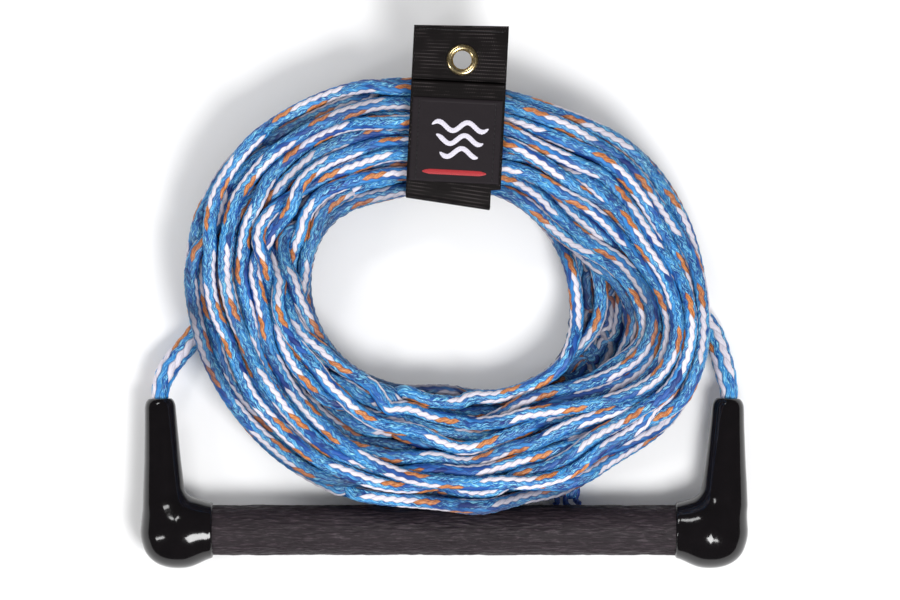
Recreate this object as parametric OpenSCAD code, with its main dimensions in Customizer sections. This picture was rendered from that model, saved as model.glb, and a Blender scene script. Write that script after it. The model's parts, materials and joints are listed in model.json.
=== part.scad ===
// Tow rope handle: a grip on an aluminium tube, a two-legged rope bridle, the coiled
// mainline and the webbing keeper that holds the coil.
// Origin: centre of the grip's axis. +X runs along the grip, +Y from the grip towards
// the keeper, +Z up from the surface that the whole thing lies on.

/* [Handle] */
// Outside diameter of the grip sleeve
grip_d = 27; // [25.5:0.5:29]
// Length of grip left bare between the two end caps
grip_bare_l = 251; // [240:1:256]
// Outside diameter of the aluminium tube
tube_d = 24; // [23:0.5:24.5]
// Wall thickness of the aluminium tube
tube_wall = 1.5; // [1.2:0.1:1.6]
// Length of the aluminium tube
tube_l = 312; // [310:1:314]
// Length of each foam float plug
plug_l = 118; // [60:1:120]

/* [End caps] */
// Radius of the round heel, seen from above
heel_r = 20.6; // [20.2:0.1:21]
// Thickness of the cap, from the resting surface upwards
heel_thickness = 36; // [35:0.5:37]
// Distance of the heel's centre from the middle of the handle
heel_x = 142.8; // [142:0.1:143.5]
// Outside diameter of the collar at its lip
collar_lip_d = 30; // [29.5:0.5:32]
// Radius of the collar where it meets the heel
collar_root_r = 17.6; // [17:0.1:17.8]
// Height of the arm's mouth above the grip's axis
mouth_y = 72; // [70:0.5:74]
// Outside diameter of the arm at its mouth
mouth_d = 15; // [13.6:0.1:15.4]

/* [Rope] */
// Diameter of the mainline
mainline_d = 8; // [7:0.1:8]
// Diameter of the bridle rope
bridle_d = 10; // [9:0.1:10]
// Number of turns in each layer of the coil, lowest layer first
layer_turns = [8, 8, 8, 7, 6];
// Inner radius of the coil's round ends
coil_hole_r = 49.6; // [49:0.1:50.5]
// Half the length of the coil's straight sides
coil_half_straight = 26; // [24:1:27]
// Height at which the bridle rope bends when the handle is lifted
bend_y = 82; // [81:0.5:84]

/* [Keeper] */
// Width of the webbing
webbing_w = 50.8; // [49:0.1:52]
// Thickness of one ply of webbing
webbing_t = 1.6; // [1.4:0.1:1.6]
// Turn of the keeper about the vertical, degrees
keeper_turn = -2.9; // [-3:0.1:0]
// Far edge of the hanging tab
tab_end_y = 272.7; // [268:0.1:276]
// Diameter of the eyelet's hole
eyelet_hole_d = 9.9; // [8:0.1:10.2]

/* [Hidden] */
$fn = 64;

// Gap between pieces that touch or slide on the real object
gap = 0.05;
// How much thicker a rope is where it bends sharply
bend_swell = 0.2;
// Straight stretches of rope are a hair thinner than the bends, and end inside them
hair = 0.04;
tuck = 0.5;

floor_z = -heel_thickness / 2;
tube_r = tube_d / 2;
tube_bore_r = tube_r - tube_wall;
grip_r = grip_d / 2;
sleeve_tuck = 5.5;
sleeve_end_x = grip_bare_l / 2 + sleeve_tuck;

// Coil: flat spiral layers stacked with a hair of air between them
rope_pitch = mainline_d + 0.05;
layer_pitch = mainline_d + 0.1;
coil_centre = [5, 129];
coil_bottom_z = floor_z + 12.5;
spiral_shift = rope_pitch / 4;
last_arc_sweep = 150;
// How far each layer's first turn stands back from the hole
layer_inset = [0, 0, 0, 0, 0.75 * rope_pitch];

// Bridle rope
arm_top = [153.6, mouth_y];
arm_bend = [151.2, 24];
knot_centre = [144, 0];
knot_d = 19.6;
bridle_z = floor_z + 5.6;
// Middle line of the bridle rope through a cap, from its bend down to its knot
cap_rope_line = [[arm_top[0], bend_y, 0], [arm_top[0], mouth_y, 0],
                 [arm_bend[0], arm_bend[1], 0], [knot_centre[0], knot_centre[1], 0]];

// Heights of the keeper's plies
coil_top_z = coil_bottom_z + 5 * layer_pitch;
strap_low_z = coil_bottom_z - webbing_t - 0.1;
return_z = coil_top_z + 0.1;
pad_t = 0.8;
loop_z = return_z + webbing_t;
hook_z = loop_z + pad_t + gap;
flap_z = hook_z + pad_t;
flap_mid_z = flap_z + webbing_t / 2;
keeper_centre = [7, 224];
strap_inner_y = 177.4;
strap_outer_y = 248.4;
return_end_y = 226;
flap_end_y = 241.3;
flap_hinge_y = 178.2;
tab_hinge_y = 243.2;
tab_t = 3;
tab_z = loop_z + 1.5;
eyelet_at = [1.3, 253.2];
flange_d = 17;
flange_t = 1.3;
barrel_wall = 0.75;

// ---- helpers ----

// A round rod from point p to point q
module rod(p, q, d) {
    v = q - p;
    len = norm(v);
    translate(p)
        rotate([0, acos(v[2] / len), atan2(v[1], v[0])])
            cylinder(h = len, d = d);
}

// A round rod bent to a flat arc about centre, from angle a through sweep
module arc_rod(centre, r, a, sweep, d) {
    translate(centre)
        rotate([0, 0, a])
            rotate_extrude(angle = sweep)
                translate([r, 0])
                    circle(d = d);
}

// A straight stretch of rope, lengthened into the bends at its two ends
module stretch(p, q, d) {
    along = (q - p) / norm(q - p);
    rod(p - tuck * along, q + tuck * along, d - hair);
}

// The round swelling of a rope where it bends, with its poles turned off the rope's line
module rope_bend(p, d) {
    translate(p)
        rotate([50, 20, 0])
            sphere(d = d + bend_swell);
}

// A rope through several points, rounded at each bend
module rope_through(points, d) {
    for (i = [0 : len(points) - 2])
        rod(points[i], points[i + 1], d);
    for (i = [1 : len(points) - 2])
        rope_bend(points[i], d);
}

// Draws its children on the right, or mirrored on the left
module on_side(side) {
    if (side < 0)
        mirror([1, 0, 0]) children();
    else
        children();
}

// A cylinder along +X from x0 to x1
module x_cylinder(x0, x1, r0, r1) {
    translate([x0, 0, 0])
        rotate([0, 90, 0])
            cylinder(h = x1 - x0, r1 = r0, r2 = r1);
}

// ---- handle ----

module handle_tube() {
    color("silver")
        difference() {
            x_cylinder(-tube_l / 2, tube_l / 2, tube_r, tube_r);
            x_cylinder(-tube_l, tube_l, tube_bore_r, tube_bore_r);
            for (side = [-1, 1])
                on_side(side)
                    rod([arm_bend[0], arm_bend[1], 0], [knot_centre[0], 0, 0], bridle_d + 1);
        }
}

module grip_sleeve() {
    color("#2e282b")
        difference() {
            x_cylinder(-sleeve_end_x, sleeve_end_x, grip_r, grip_r);
            x_cylinder(-tube_l, tube_l, tube_r + gap, tube_r + gap);
        }
}

// The arm of a cap: two tapers and a bevelled mouth, turned about the arm's own axis
module cap_arm() {
    root = [149.4, 0];
    axis = arm_top - root;
    len = norm(axis);
    mouth_r = mouth_d / 2;
    translate([root[0], root[1], 0])
        rotate([-90, 0, -atan2(axis[0], axis[1])])
            rotate_extrude()
                polygon([[0, 0], [13.5, 0], [9.4, 39], [mouth_r, len - 1.2],
                         [mouth_r - 0.8, len], [0, len]]);
}

module end_cap(side) {
    lip_x = grip_bare_l / 2;
    on_side(side)
        difference() {
            union() {
                x_cylinder(lip_x, heel_x, collar_lip_d / 2, collar_root_r);
                intersection() {
                    translate([heel_x, -0.7, 0])
                        sphere(r = heel_r);
                    translate([heel_x, 0, 0])
                        cube([4 * heel_r, 4 * heel_r, heel_thickness], center = true);
                }
                cap_arm();
            }
            x_cylinder(0, sleeve_end_x + gap, grip_r + gap, grip_r + gap);
            x_cylinder(0, tube_l / 2 + gap, tube_r + gap, tube_r + gap);
            rope_through(cap_rope_line, bridle_d + 2 * gap);
        }
}

module end_cap_left() {
    color("#0c0a0c") end_cap(-1);
}

module end_cap_right() {
    color("#0c0a0c") end_cap(1);
}

module float_plug(side) {
    color("white")
        on_side(side)
            x_cylinder(8, 8 + plug_l, tube_bore_r - gap, tube_bore_r - gap);
}

module float_plug_left() {
    float_plug(-1);
}

module float_plug_right() {
    float_plug(1);
}

// Bridle rope from its stopper knot inside the tube, up through the cap's arm
module bridle_end(side) {
    color("#2f7fd0")
        on_side(side) {
            rope_through(cap_rope_line, bridle_d);
            rope_bend(cap_rope_line[0], bridle_d);
            translate([knot_centre[0], knot_centre[1], 0])
                sphere(d = knot_d);
        }
}

module bridle_end_left() {
    bridle_end(-1);
}

module bridle_end_right() {
    bridle_end(1);
}

// ---- rope under the coil ----

left_centre = [coil_centre[0] - coil_half_straight, coil_centre[1] + spiral_shift, 0];
right_centre = [coil_centre[0] + coil_half_straight, coil_centre[1] - spiral_shift, 0];
under_r = 84;
under_r_right = under_r + 2 * spiral_shift;
whipping_start = 113;
whipping_sweep = 18;

// How far above the bend the legs begin, leaving room for the rope's end to turn
leg_gap = 9.5;

// Point at angle a on a circle about c, at the height of the bridle under the coil
function under_point(c, r, a) = [c[0] + r * cos(a), c[1] + r * sin(a), bridle_z];

module bridle_left() {
    leg_top = [-139, 106, bridle_z];
    leg_start = [-150.5, bend_y + leg_gap, -3.4];
    meet = 175;
    stop = whipping_start + whipping_sweep / 2 + 1;
    color("#2f7fd0") {
        rope_through([leg_start, leg_top, under_point(left_centre, under_r, meet)], bridle_d);
        rope_bend(under_point(left_centre, under_r, meet), bridle_d);
        arc_rod([left_centre[0], left_centre[1], bridle_z], under_r, stop, meet - stop,
                bridle_d);
    }
}

module bridle_right() {
    leg_top = [147, 107, bridle_z];
    leg_start = [150.8, bend_y + leg_gap, -3.6];
    meet = 8;
    stop = whipping_start + whipping_sweep / 2 - 1;
    top_y = left_centre[1] + under_r;
    color("#2f7fd0") {
        rope_through([leg_start, leg_top, under_point(right_centre, under_r_right, meet)],
                     bridle_d);
        rope_bend(under_point(right_centre, under_r_right, meet), bridle_d);
        arc_rod([right_centre[0], right_centre[1], bridle_z], under_r_right, meet, 90 - meet,
                bridle_d);
        stretch([left_centre[0], top_y, bridle_z], [right_centre[0], top_y, bridle_z],
                bridle_d);
        arc_rod([left_centre[0], left_centre[1], bridle_z], under_r, 90, stop - 90, bridle_d);
    }
}

module bridle_whipping() {
    color("#20201f")
        translate([left_centre[0], left_centre[1], bridle_z])
            rotate([0, 0, whipping_start])
                rotate_extrude(angle = whipping_sweep)
                    translate([under_r, 0])
                        difference() {
                            circle(d = bridle_d + 1.2);
                            circle(d = bridle_d + 2 * gap);
                        }
}

// ---- coiled mainline ----

// One turn of a layer at height z, whose left half circle has radius left_r
module coil_turn(left_r, z, last) {
    right_r = left_r + rope_pitch / 2;
    top_y = left_centre[1] + left_r;
    low_y = right_centre[1] - right_r;
    sweep = last ? last_arc_sweep : 180;
    arc_rod([left_centre[0], left_centre[1], z], left_r, 90, 180, mainline_d);
    stretch([left_centre[0], top_y, z], [right_centre[0], top_y, z], mainline_d);
    arc_rod([right_centre[0], right_centre[1], z], right_r, 90 - sweep, sweep, mainline_d);
    if (!last)
        stretch([left_centre[0], low_y, z], [right_centre[0], low_y, z], mainline_d);
}

// One flat layer: half circles about two centres joined by straight sides, so that
// each turn ends one pitch outside the turn before it
module spiral_layer(index) {
    z = coil_bottom_z + mainline_d / 2 + index * layer_pitch;
    turns = layer_turns[index];
    first_r = coil_hole_r + mainline_d / 2 + layer_inset[index];
    color("#2f7fd0")
        for (k = [0 : turns - 1])
            coil_turn(first_r + k * rope_pitch, z, k == turns - 1);
}

module mainline_layer_1() {
    spiral_layer(0);
}

module mainline_layer_2() {
    spiral_layer(1);
}

module mainline_layer_3() {
    spiral_layer(2);
}

module mainline_layer_4() {
    spiral_layer(3);
}

module mainline_layer_5() {
    spiral_layer(4);
}

// Eye spliced into the boat end, lying flat under the coil's near side
eye_centre = [38, 48];
eye_r = 18;
tow_z = floor_z + mainline_d / 2 + 1.1;
// Angle left open where the two sides of the eye run together into the splice
eye_open_angle = 50;
eye_neck = [65, 32, tow_z];
// The splice is thicker than the rope, and runs from inside the neck away from the eye
splice_swell = 2;
splice_start = [60, 32.9, tow_z];
splice_stop = [89, 27.5, tow_z];

module tow_loop() {
    neck_angle = atan2(eye_neck[1] - eye_centre[1], eye_neck[0] - eye_centre[0]);
    a0 = neck_angle + eye_open_angle / 2;
    color("#2f7fd0") {
        arc_rod([eye_centre[0], eye_centre[1], tow_z], eye_r, a0, 360 - eye_open_angle,
                mainline_d);
        for (a = [a0, a0 - eye_open_angle]) {
            shoulder = [eye_centre[0] + eye_r * cos(a), eye_centre[1] + eye_r * sin(a), tow_z];
            rod(shoulder, eye_neck, mainline_d - hair);
            rope_bend(shoulder, mainline_d);
        }
        rod(splice_start, splice_stop, mainline_d + splice_swell);
    }
}

// The melted end of the mainline, standing out of the splice
module splice_tail() {
    tail_d = 6;
    start = [66, 25.3, tow_z];
    tip = [67.2, 18.6, tow_z];
    color("#1c4fa8") {
        rod(start, tip, tail_d);
        rope_bend(tip, tail_d);
    }
}

// ---- keeper ----

// Places a shape drawn in the keeper's own straight frame
module keeper_frame() {
    translate([keeper_centre[0], keeper_centre[1], 0])
        rotate([0, 0, keeper_turn])
            translate([0, -keeper_centre[1], 0])
                children();
}

// A block across the keeper's width, between two y and two z values
module ply(y0, y1, z0, z1, width = webbing_w) {
    translate([-width / 2, y0, z0])
        cube([width, y1 - y0, z1 - z0]);
}

// A thin rounded rod across the keeper's width, the bend of a folded ply
module ply_bend(y, z, t) {
    translate([-webbing_w / 2, y, z])
        rotate([0, 90, 0])
            cylinder(h = webbing_w, d = t);
}

module keeper_strap() {
    color("#141214")
        keeper_frame() {
            ply(strap_inner_y, strap_outer_y, strap_low_z, strap_low_z + webbing_t);
            ply(strap_inner_y, strap_inner_y + webbing_t, strap_low_z, flap_z - 0.15);
            ply(strap_outer_y - webbing_t, strap_outer_y, strap_low_z, loop_z);
            ply(return_end_y, strap_outer_y, return_z, loop_z);
            ply(tab_hinge_y - 1.6, tab_hinge_y + 1.4, return_z, tab_z - 0.1);
        }
}

module keeper_flap() {
    color("#141214")
        keeper_frame() {
            ply(flap_hinge_y, flap_end_y, flap_z, flap_z + webbing_t);
            ply_bend(flap_hinge_y, flap_mid_z, webbing_t);
        }
}

module loop_pad() {
    color("#101010")
        keeper_frame()
            ply(return_end_y + 0.5, tab_hinge_y - 2.7, loop_z, loop_z + pad_t, webbing_w - 6);
}

module hook_pad() {
    color("#101010")
        keeper_frame()
            ply(return_end_y + 0.5, tab_hinge_y - 2.7, hook_z, hook_z + pad_t, webbing_w - 6);
}

label_y0 = 189;
label_y1 = 232.5;
label_w = 47;
label_t = 0.4;

module woven_label() {
    color("#2b2a2e")
        keeper_frame()
            ply(label_y0, label_y1, flap_z + webbing_t, flap_z + webbing_t + label_t, label_w);
}

// A row of n short threads from point p to point q, standing on height z
module stitch_row(p, q, n, z) {
    step = (q - p) / n;
    turn = atan2(step[1], step[0]);
    for (i = [0 : n - 1])
        translate([p[0] + (i + 0.5) * step[0], p[1] + (i + 0.5) * step[1], z])
            rotate([0, 0, turn])
                translate([-norm(step) * 0.35, -0.3, 0])
                    cube([norm(step) * 0.7, 0.6, 0.3]);
}

module label_stitching() {
    x = label_w / 2 - 3;
    z = flap_z + webbing_t + label_t;
    color("black")
        keeper_frame() {
            stitch_row([-x, label_y0 + 1.5], [-x, label_y1 - 1.5], 14, z);
            stitch_row([x, label_y0 + 1.5], [x, label_y1 - 1.5], 14, z);
        }
}

module hang_tab() {
    color("#141214")
        keeper_frame()
            difference() {
                union() {
                    ply(tab_hinge_y, tab_end_y, tab_z, tab_z + tab_t);
                    ply_bend(tab_hinge_y, tab_z + tab_t / 2, tab_t);
                }
                translate([eyelet_at[0], eyelet_at[1], tab_z - 1])
                    cylinder(h = tab_t + 2, d = eyelet_hole_d + 2 * barrel_wall + 2 * gap);
            }
}

module tab_stitching() {
    x = webbing_w / 2 - 3;
    z = tab_z + tab_t;
    color("black")
        keeper_frame() {
            stitch_row([-x, tab_end_y - 3], [x, tab_end_y - 3], 16, z);
            stitch_row([-x, tab_end_y - 6], [x, tab_end_y - 6], 16, z);
        }
}

// Barrel through the tab with a domed front flange
module grommet_eyelet() {
    hole_r = eyelet_hole_d / 2;
    barrel_r = hole_r + barrel_wall;
    dome_r = (flange_d / 2 - hole_r) / 2;
    color("#c9a24a")
        keeper_frame()
            translate([eyelet_at[0], eyelet_at[1], 0]) {
                difference() {
                    translate([0, 0, tab_z - 0.9])
                        cylinder(h = tab_t + 0.9 + flange_t / 2, r = barrel_r);
                    translate([0, 0, tab_z - 2])
                        cylinder(h = tab_t + 6, r = hole_r);
                }
                translate([0, 0, tab_z + tab_t + gap])
                    rotate_extrude()
                        intersection() {
                            translate([hole_r + dome_r, -dome_r + flange_t])
                                circle(r = dome_r);
                            translate([hole_r, 0])
                                square([2 * dome_r, flange_t]);
                        }
            }
}

module grommet_washer() {
    inner_r = eyelet_hole_d / 2 + barrel_wall + gap;
    color("#c9a24a")
        keeper_frame()
            translate([eyelet_at[0], eyelet_at[1], tab_z - 0.9])
                difference() {
                    cylinder(h = 0.85, d = 15);
                    translate([0, 0, -1])
                        cylinder(h = 3, r = inner_r);
                }
}

handle_tube();
grip_sleeve();
end_cap_left();
end_cap_right();
float_plug_left();
float_plug_right();
bridle_end_left();
bridle_end_right();
bridle_left();
bridle_right();
bridle_whipping();
mainline_layer_1();
mainline_layer_2();
mainline_layer_3();
mainline_layer_4();
mainline_layer_5();
tow_loop();
splice_tail();
keeper_strap();
keeper_flap();
hook_pad();
loop_pad();
woven_label();
label_stitching();
hang_tab();
tab_stitching();
grommet_eyelet();
grommet_washer();
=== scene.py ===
"""Looks of the tow rope handle: coiled braided rope, wrinkled grip, glossy end caps and webbing keeper.

Lengths in the helper functions and constants are millimetres in the part's own frame. They
become metres when a mesh is made.
"""
import json
import math

import bpy
import numpy as np
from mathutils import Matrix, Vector, noise


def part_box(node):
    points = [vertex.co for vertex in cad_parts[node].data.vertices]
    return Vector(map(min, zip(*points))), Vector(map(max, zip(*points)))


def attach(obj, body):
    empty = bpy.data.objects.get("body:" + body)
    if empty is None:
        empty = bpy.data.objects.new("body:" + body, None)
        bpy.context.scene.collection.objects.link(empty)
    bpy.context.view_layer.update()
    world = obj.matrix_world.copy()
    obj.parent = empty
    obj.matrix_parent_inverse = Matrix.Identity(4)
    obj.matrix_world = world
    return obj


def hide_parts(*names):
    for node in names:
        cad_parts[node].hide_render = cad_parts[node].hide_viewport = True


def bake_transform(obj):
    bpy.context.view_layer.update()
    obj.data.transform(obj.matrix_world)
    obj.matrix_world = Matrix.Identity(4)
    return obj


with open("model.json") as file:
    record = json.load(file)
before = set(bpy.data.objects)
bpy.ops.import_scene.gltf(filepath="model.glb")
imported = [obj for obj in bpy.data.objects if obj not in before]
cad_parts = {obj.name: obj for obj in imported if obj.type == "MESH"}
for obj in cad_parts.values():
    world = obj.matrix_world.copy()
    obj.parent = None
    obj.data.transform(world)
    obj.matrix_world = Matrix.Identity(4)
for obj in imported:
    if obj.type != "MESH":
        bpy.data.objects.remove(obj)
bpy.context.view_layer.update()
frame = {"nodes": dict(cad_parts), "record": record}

MM = 0.001
SEED = 7
rng = np.random.default_rng(SEED)


def node_box(node):
    """A CAD node's lowest and highest corners, in millimetres."""
    low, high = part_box(node)
    return np.array(low) / MM, np.array(high) / MM


JOINTS = {j["name"]: j for j in frame["record"]["behaviour"]["joints"]}


def hinge_at(name):
    """A joint's place, in millimetres."""
    return np.array(JOINTS[name]["pos_m"]) / MM


FLOOR_Z = node_box("end_cap_left")[0][2]
BARE_GRIP = 251.0
GRIP_R = node_box("grip_sleeve")[1][2]


# ---------------------------------------------------------------- small helpers

def smoothstep(x, low, high):
    t = np.clip((x - low) / (high - low), 0, 1)
    return t * t * (3 - 2 * t)


def closed_curve(points, angles):
    """A smooth closed curve through (degrees, value) points, read at angles in radians."""
    at, value = np.array(points, dtype=float).T
    at = np.concatenate([at - 360, at, at + 360])
    value = np.tile(value, 3)
    slope = np.gradient(value, at)
    d = np.degrees(angles) % 360
    i = np.searchsorted(at, d, side="right") - 1
    gap = at[i + 1] - at[i]
    t = (d - at[i]) / gap
    return ((1 + 2 * t) * (1 - t) ** 2 * value[i] + t * (1 - t) ** 2 * gap * slope[i]
            + t * t * (3 - 2 * t) * value[i + 1] + t * t * (t - 1) * gap * slope[i + 1])


def wander(count, spacing, size):
    """Smooth random values: a new target every `spacing` samples, eased between."""
    knots = rng.normal(0, size, count // spacing + 4)
    at = np.arange(count) / spacing
    i = at.astype(int)
    t = at - i
    t = t * t * (3 - 2 * t)
    return knots[i] * (1 - t) + knots[i + 1] * t


def resample(points, step):
    """Points every `step` along a smooth curve through the given ones."""
    p = np.vstack([2 * points[0] - points[1], points, 2 * points[-1] - points[-2]])
    t = np.linspace(0, 1, 8, endpoint=False)[None, :, None]
    a, b, c, d = p[:-3, None], p[1:-2, None], p[2:-1, None], p[3:, None]
    fine = 0.5 * (2 * b + (c - a) * t + (2 * a - 5 * b + 4 * c - d) * t ** 2
                  + (3 * b - a - 3 * c + d) * t ** 3)
    fine = np.vstack([fine.reshape(-1, 3), points[-1]])
    length = np.concatenate([[0], np.cumsum(np.linalg.norm(np.diff(fine, axis=0), axis=1))])
    at = np.linspace(0, length[-1], int(length[-1] / step) + 1)
    return np.stack([np.interp(at, length, fine[:, k]) for k in range(3)], axis=1), at


def grid_faces(rows, cols, closed):
    """Quads of a grid of rows by cols vertices, closed round the columns or not."""
    i = np.arange(rows - 1)[:, None] * cols
    j = np.arange(cols if closed else cols - 1)[None, :]
    k = (j + 1) % cols
    return np.stack([i + j, i + k, i + cols + k, i + cols + j], axis=-1).reshape(-1, 4)


def make_mesh(name, verts, quads, uv=None, extra_faces=()):
    """An object from vertices in millimetres, quads, and one UV pair per quad corner."""
    mesh = bpy.data.meshes.new(name)
    if extra_faces:
        faces = [tuple(int(v) for v in q) for q in quads] + [tuple(f) for f in extra_faces]
        mesh.from_pydata([tuple(v) for v in verts * MM], [], faces)
    else:
        mesh.vertices.add(len(verts))
        mesh.vertices.foreach_set("co", (verts * MM).astype(np.float32).ravel())
        mesh.loops.add(4 * len(quads))
        mesh.loops.foreach_set("vertex_index", quads.astype(np.int32).ravel())
        mesh.polygons.add(len(quads))
        mesh.polygons.foreach_set("loop_start", np.arange(0, 4 * len(quads), 4, dtype=np.int32))
        mesh.update(calc_edges=True)
    if uv is not None:
        layer = mesh.uv_layers.new(name="lay")
        flat = np.zeros((len(mesh.loops), 2), dtype=np.float32)
        flat[: len(uv)] = uv
        layer.data.foreach_set("uv", flat.ravel())
    mesh.validate()
    mesh.polygons.foreach_set("use_smooth", np.ones(len(mesh.polygons), dtype=bool))
    mesh.update()
    obj = bpy.data.objects.new(name, mesh)
    bpy.context.scene.collection.objects.link(obj)
    return obj


# ---------------------------------------------------------------- materials

class Val:
    """A number or colour inside a material, so that sums can be written plainly."""

    def __init__(self, tree, socket):
        self.tree = tree
        self.socket = socket

    def math(self, operation, *others):
        node = self.tree.nodes.new("ShaderNodeMath")
        node.operation = operation
        for slot, value in zip(node.inputs, (self,) + others):
            if isinstance(value, Val):
                self.tree.links.new(value.socket, slot)
            else:
                slot.default_value = value
        return Val(self.tree, node.outputs[0])

    def __add__(self, other):
        return self.math("ADD", other)

    def __sub__(self, other):
        return self.math("SUBTRACT", other)

    def __mul__(self, other):
        return self.math("MULTIPLY", other)

    def floor(self):
        return self.math("FLOOR")

    def fract(self):
        return self.math("FRACT")

    def sin(self):
        return self.math("SINE")

    def less(self, other):
        return self.math("LESS_THAN", other)

    def above(self, other):
        return self.math("GREATER_THAN", other)

    def smooth(self, low, high, to_low=0.0, to_high=1.0):
        node = self.tree.nodes.new("ShaderNodeMapRange")
        node.interpolation_type = "SMOOTHSTEP"
        for key, value in (("From Min", low), ("From Max", high), ("To Min", to_low),
                           ("To Max", to_high)):
            node.inputs[key].default_value = value
        self.tree.links.new(self.socket, node.inputs["Value"])
        return Val(self.tree, node.outputs["Result"])


class Shader:
    """One procedural material with a principled surface."""

    def __init__(self, name):
        self.material = bpy.data.materials.new(name)
        self.material.use_nodes = True
        self.tree = self.material.node_tree
        self.surface = self.tree.nodes["Principled BSDF"]

    def val(self, socket):
        return Val(self.tree, socket)

    def plug(self, key, value):
        slot = self.surface.inputs[key]
        if isinstance(value, Val):
            self.tree.links.new(value.socket, slot)
        elif isinstance(value, (tuple, list)):
            slot.default_value = (*value, 1.0)
        else:
            slot.default_value = value

    def place(self, scale=(1, 1, 1)):
        """Object coordinates in metres, times scale."""
        coords = self.tree.nodes.new("ShaderNodeTexCoord")
        mapping = self.tree.nodes.new("ShaderNodeMapping")
        mapping.inputs["Scale"].default_value = scale
        self.tree.links.new(coords.outputs["Object"], mapping.inputs["Vector"])
        return mapping.outputs["Vector"]

    def lay(self):
        """The two coordinates laid along a rope or a strip of webbing."""
        uv = self.tree.nodes.new("ShaderNodeUVMap")
        uv.uv_map = "lay"
        split = self.tree.nodes.new("ShaderNodeSeparateXYZ")
        self.tree.links.new(uv.outputs["UV"], split.inputs[0])
        return self.val(split.outputs["X"]), self.val(split.outputs["Y"])

    def vector(self, x, y, z=0.0):
        node = self.tree.nodes.new("ShaderNodeCombineXYZ")
        for slot, value in zip(node.inputs, (x, y, z)):
            if isinstance(value, Val):
                self.tree.links.new(value.socket, slot)
            else:
                slot.default_value = value
        return node.outputs[0]

    def noise(self, vector, scale, detail=3.0, rough=0.55, distortion=0.0):
        node = self.tree.nodes.new("ShaderNodeTexNoise")
        node.inputs["Scale"].default_value = scale
        node.inputs["Detail"].default_value = detail
        node.inputs["Roughness"].default_value = rough
        node.inputs["Distortion"].default_value = distortion
        self.tree.links.new(vector, node.inputs["Vector"])
        return self.val(node.outputs[0])

    def mix(self, amount, first, second):
        node = self.tree.nodes.new("ShaderNodeMix")
        node.data_type = "RGBA"
        for slot, value in ((node.inputs[0], amount), (node.inputs[6], first),
                            (node.inputs[7], second)):
            if isinstance(value, Val):
                self.tree.links.new(value.socket, slot)
            elif isinstance(value, (tuple, list)):
                slot.default_value = (*value, 1.0)
            else:
                slot.default_value = value
        return self.val(node.outputs[2])

    def attribute(self, name):
        node = self.tree.nodes.new("ShaderNodeAttribute")
        node.attribute_name = name
        return self.val(node.outputs["Fac"])

    def bump(self, height, depth_mm, strength=1.0):
        node = self.tree.nodes.new("ShaderNodeBump")
        node.inputs["Strength"].default_value = strength
        node.inputs["Distance"].default_value = depth_mm * MM
        self.tree.links.new(height.socket, node.inputs["Height"])
        self.tree.links.new(node.outputs["Normal"], self.surface.inputs["Normal"])


BRAID_COLUMNS = 8
BRAID_WAVE = 0.13
# The marker columns are this much wider to each side than the plain ones
MARKER_SPREAD = 0.06
# How far up a float its bulge to one side sits, in float lengths
BRAID_SKEW = 0.2
FLOATS_PER_REPEAT = 12
WHITE_FLOATS = 5
ORANGE_FLOATS = 2


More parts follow.
